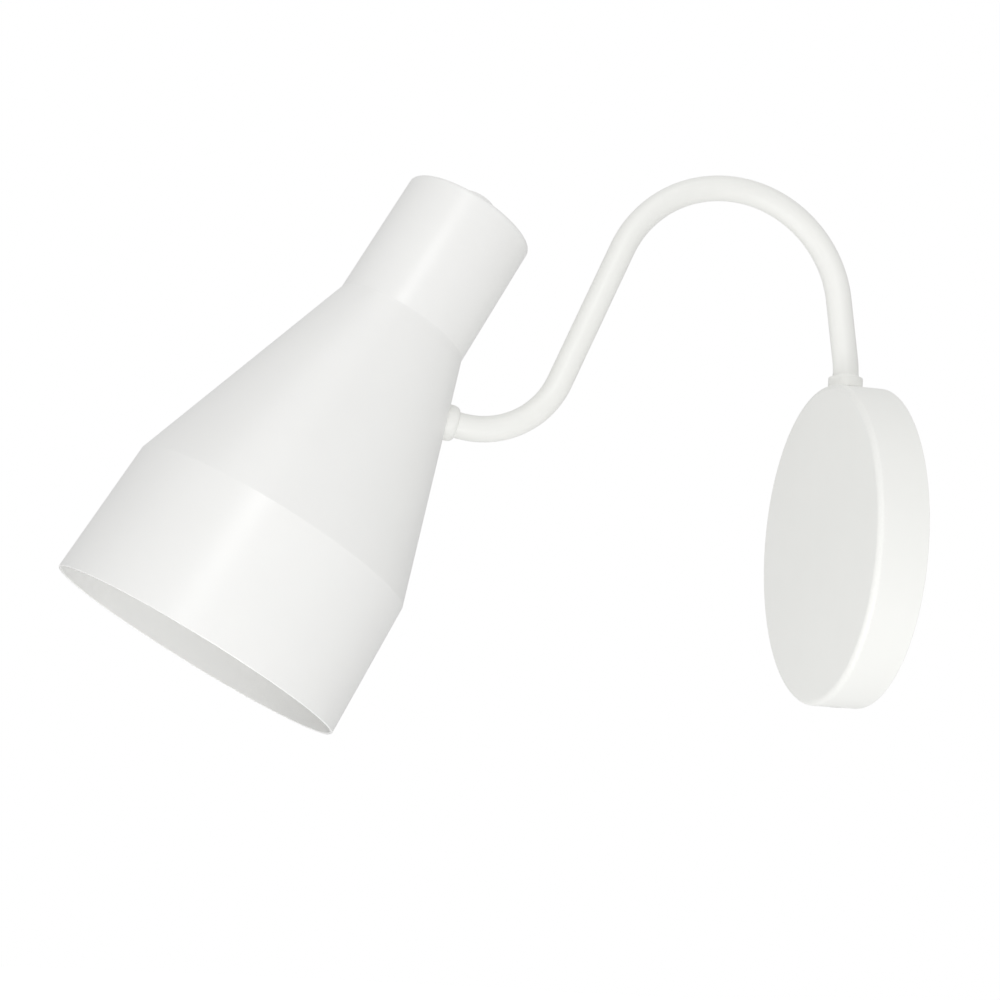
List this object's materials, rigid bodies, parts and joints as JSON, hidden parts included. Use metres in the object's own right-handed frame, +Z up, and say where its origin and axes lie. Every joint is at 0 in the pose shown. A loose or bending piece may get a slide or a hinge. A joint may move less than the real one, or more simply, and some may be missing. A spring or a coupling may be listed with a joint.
{
  "type": "swing arm wall sconce",
  "caption": "White wall lamp: round wall plate, bent tube arm that swings sideways, and a conical metal shade with a straight neck that turns on the arm's tip.",
  "frame": {"origin": "centre of the round wall plate in the plane of the wall, which is also the centre of the cable entry", "axes": "+Y into the wall, -Y out along the arm at rest, +Z up, X sideways along the wall"},
  "size_m": [0.125, 0.3063, 0.2278],
  "materials": {
    "plate_enamel": "satin off-white powder coat",
    "arm_enamel": "satin off-white powder coat",
    "shade_enamel": "satin white powder coat",
    "zinc_steel": "bright zinc plate",
    "brass": "plain brass",
    "grommet_rubber": "matt black rubber",
    "fibre": "red-brown vulcanised fibre",
    "moulded": "off-white thermoset",
    "switch_plastic": "black thermoset",
    "ceramic": "unglazed steatite",
    "lead_sheath": "white flexible sheath",
    "core_insulation": "brown silicone insulation"
  },
  "bodies": {
    "wall_mount": {"wall_plate": "plate_enamel", "hanger_bar": "zinc_steel", "mounting_bracket": "zinc_steel", "retaining_screw": "zinc_steel", "cable_grommet": "grommet_rubber", "terminal_block": "moulded", "terminal_sleeves": "brass", "terminal_screws": "zinc_steel", "block_screw": "zinc_steel", "earth_stud": "zinc_steel", "earth_washer": "zinc_steel", "earth_nut": "brass", "pivot_saddle": "zinc_steel", "pivot_friction_washer": "fibre", "pivot_stop_pin": "zinc_steel", "plate_lead": "lead_sheath", "plate_cores": "core_insulation"},
    "arm": {"arm_tube": "arm_enamel", "foot_collar": "plate_enamel", "swing_stem": "zinc_steel", "swing_stop_washer": "zinc_steel", "swing_spring_washer": "zinc_steel", "swing_nuts": "brass", "arm_lead": "lead_sheath", "tip_stem": "zinc_steel", "tip_ring": "zinc_steel", "tip_stop_washer": "zinc_steel", "tip_spring_washer": "zinc_steel", "tip_nut": "brass"},
    "shade_body": {"shade": "shade_enamel", "shade_collar": "plate_enamel", "shade_saddle": "zinc_steel", "shade_friction_washer": "fibre", "shade_stop_pin": "zinc_steel", "shade_wires": "core_insulation", "holder_cap": "moulded", "holder_body": "moulded", "contact_carrier": "ceramic", "screw_shell": "brass", "centre_contact": "brass", "side_contact": "brass", "carrier_screws": "zinc_steel", "switch_block": "switch_plastic", "switch_ring_nut": "plate_enamel", "button_spring": "zinc_steel"},
    "button": {"push_button": "shade_enamel", "button_clip": "zinc_steel"}
  },
  "joints": [
    {"name": "arm_swing", "type": "hinge", "parent": "wall_mount", "child": "arm", "pos_m": [0, -0.00975, 0.0625], "axis": [0, 0, 1], "range_deg": [-75, 75]},
    {"name": "shade_swivel", "type": "hinge", "parent": "arm", "child": "shade_body", "pos_m": [0, -0.16854, 0.03454], "axis": [0, -0.9842, 0.1771], "range_deg": [-160, 160]},
    {"name": "switch_push", "type": "slide", "parent": "shade_body", "child": "button", "axis": [0, -0.4674, -0.884], "range_m": [0, 0.0025], "stiffness_N_per_m": 800, "springref_m": -0.002, "deforming": ["button_spring"]}
  ]
}
